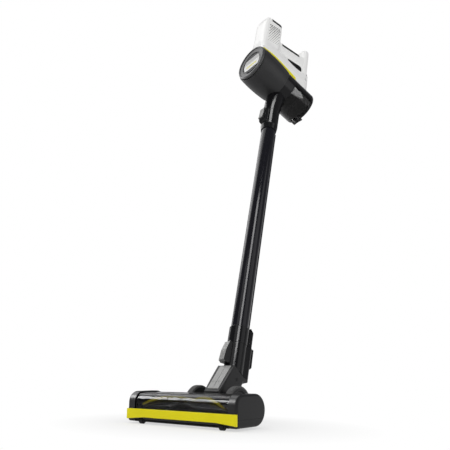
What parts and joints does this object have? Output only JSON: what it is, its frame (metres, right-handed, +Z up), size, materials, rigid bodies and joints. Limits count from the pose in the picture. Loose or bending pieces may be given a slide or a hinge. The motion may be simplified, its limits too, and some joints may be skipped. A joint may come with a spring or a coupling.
{
  "type": "cordless stick vacuum",
  "caption": "Cordless stick vacuum: white hand unit with perforated tower, black tube, two-axis neck and a powered floor head with chevron brush and yellow bumper",
  "frame": {"origin": "middle of the bounding box at floor level, with the wheels on the floor", "axes": "+Z up, -Y the way the floor head faces, +X to the right of someone looking along +Y"},
  "size_m": [0.2654, 0.6078, 1.0903],
  "materials": {
    "white_shell": "glossy white moulding",
    "satin_grey": "satin dark grey moulding",
    "gloss_black": "glossy black moulding",
    "matte_black": "matte black moulding",
    "tube_paint": "drawn tube, glossy black paint",
    "yellow": "satin yellow moulding",
    "yellow_bristle": "nylon filament",
    "dark_bristle": "nylon filament",
    "smoke": "smoked clear moulding",
    "light_grey": "satin light grey moulding",
    "tyre": "soft grey tread",
    "silver": "bright silver plating",
    "plate": "fine brushed plate, bare",
    "steel": "plain turned steel",
    "rubber": "black rubber",
    "light_metal": "plain light metal",
    "filter": "pleated filter paper",
    "board": "green board"
  },
  "bodies": {
    "hand_unit": {"connector_housing": "gloss_black", "connector_rear_cover": "gloss_black", "swivel_spigot": "matte_black", "tube_lower_collar": "gloss_black", "suction_tube": "tube_paint", "power_cable": "rubber", "tube_upper_collar": "gloss_black", "inlet_neck": "satin_grey", "motor_housing": "satin_grey", "front_bezel": "gloss_black", "rim_ring": "silver", "front_plate": "plate", "fan_motor": "light_metal", "motor_mount": "matte_black", "handle_shell_left": "white_shell", "handle_shell_right": "white_shell", "grip_strip": "matte_black", "grip_underside": "matte_black", "exhaust_filter": "filter", "charge_jack": "matte_black", "battery_cells": "light_metal", "control_board": "board", "dust_container": "smoke", "flap_pin": "steel", "bin_seal": "rubber", "filter_cone": "matte_black", "yellow_trim": "yellow"},
    "neck": {"elbow_housing": "gloss_black", "elbow_cover": "light_grey", "neck_screws": "steel"},
    "floor_head": {"head_housing": "gloss_black", "top_trim": "light_grey", "brush_window": "smoke", "bumper_strip": "yellow", "left_end_cap": "gloss_black", "right_end_cap": "gloss_black", "sole_plate": "matte_black", "sole_screws": "steel", "brush_motor": "steel", "drive_belt": "rubber", "brush_bushes": "matte_black", "wheel_axles": "steel"},
    "brush_roller": {"roller_core": "matte_black", "yellow_bristles": "yellow_bristle", "dark_bristles": "dark_bristle", "roller_pulley": "matte_black"},
    "motor_pulley": {"motor_pulley": "matte_black"},
    "wheel_left": {"rear_wheel_left": "matte_black", "rear_tyre_left": "tyre"},
    "wheel_right": {"rear_wheel_right": "matte_black", "rear_tyre_right": "tyre"},
    "front_roller_left": {"front_roller_left": "matte_black"},
    "front_roller_right": {"front_roller_right": "matte_black"},
    "head_latch": {"head_latch": "light_grey"},
    "tube_latch": {"tube_latch": "light_grey"},
    "trigger": {"trigger": "matte_black"},
    "top_button": {"top_button": "gloss_black"},
    "bin_release": {"bin_release": "matte_black"},
    "bin_flap": {"bin_flap": "smoke"},
    "impeller": {"impeller": "light_metal"}
  },
  "joints": [
    {"name": "neck_swivel", "type": "hinge", "parent": "hand_unit", "child": "neck", "pos_m": [0.00521, -0.14553, 0.09517], "axis": [0, 0.6293, 0.7771], "range_deg": [-56, 84]},
    {"name": "head_pitch", "type": "hinge", "parent": "neck", "child": "floor_head", "pos_m": [0.00521, -0.19588, 0.033], "axis": [1, 0, 0], "range_deg": [-36, 47]},
    {"name": "brush_spin", "type": "hinge", "parent": "floor_head", "child": "brush_roller", "pos_m": [0.00521, -0.27188, 0.026], "axis": [1, 0, 0], "continuous": true},
    {"name": "motor_spin", "type": "hinge", "parent": "floor_head", "child": "motor_pulley", "pos_m": [-0.11079, -0.23448, 0.03], "axis": [1, 0, 0], "continuous": true},
    {"name": "wheel_left_spin", "type": "hinge", "parent": "floor_head", "child": "wheel_left", "pos_m": [-0.04179, -0.19588, 0.033], "axis": [1, 0, 0], "continuous": true},
    {"name": "wheel_right_spin", "type": "hinge", "parent": "floor_head", "child": "wheel_right", "pos_m": [0.05221, -0.19588, 0.033], "axis": [1, 0, 0], "continuous": true},
    {"name": "front_roller_left_spin", "type": "hinge", "parent": "floor_head", "child": "front_roller_left", "pos_m": [-0.08879, -0.29538, 0.0055], "axis": [1, 0, 0], "continuous": true},
    {"name": "front_roller_right_spin", "type": "hinge", "parent": "floor_head", "child": "front_roller_right", "pos_m": [0.09921, -0.29538, 0.0055], "axis": [1, 0, 0], "continuous": true},
    {"name": "head_latch_press", "type": "slide", "parent": "hand_unit", "child": "head_latch", "axis": [0.228, 0.9209, -0.3162], "range_m": [0, 0.003], "stiffness_N_per_m": 300, "springref_m": -0.003},
    {"name": "tube_latch_press", "type": "slide", "parent": "hand_unit", "child": "tube_latch", "axis": [0.228, 0.9209, -0.3162], "range_m": [0, 0.0024], "stiffness_N_per_m": 300, "springref_m": -0.003},
    {"name": "trigger_pull", "type": "slide", "parent": "hand_unit", "child": "trigger", "axis": [-0.1228, 0.1595, 0.9795], "range_m": [0, 0.003], "stiffness_N_per_m": 300, "springref_m": -0.003},
    {"name": "top_button_press", "type": "slide", "parent": "hand_unit", "child": "top_button", "axis": [0.1154, -0.1933, -0.9743], "range_m": [0, 0.0015], "stiffness_N_per_m": 400, "springref_m": -0.002},
    {"name": "bin_release_press", "type": "slide", "parent": "hand_unit", "child": "bin_release", "axis": [-0.228, -0.9209, 0.3162], "range_m": [0, 0.002], "stiffness_N_per_m": 300, "springref_m": -0.003},
    {"name": "bin_flap_open", "type": "hinge", "parent": "hand_unit", "child": "bin_flap", "pos_m": [-0.03321, 0.20279, 0.77016], "axis": [-0.9703, 0.188, -0.1522], "range_deg": [0, 100]},
    {"name": "impeller_spin", "type": "hinge", "parent": "hand_unit", "child": "impeller", "pos_m": [-0.06573, 0.11705, 0.87153], "axis": [0.2363, 0.8712, -0.4303], "continuous": true}
  ],
  "couplings": [
    {"joint": "motor_spin", "follows": "brush_spin", "ratio": 1.7778}
  ]
}
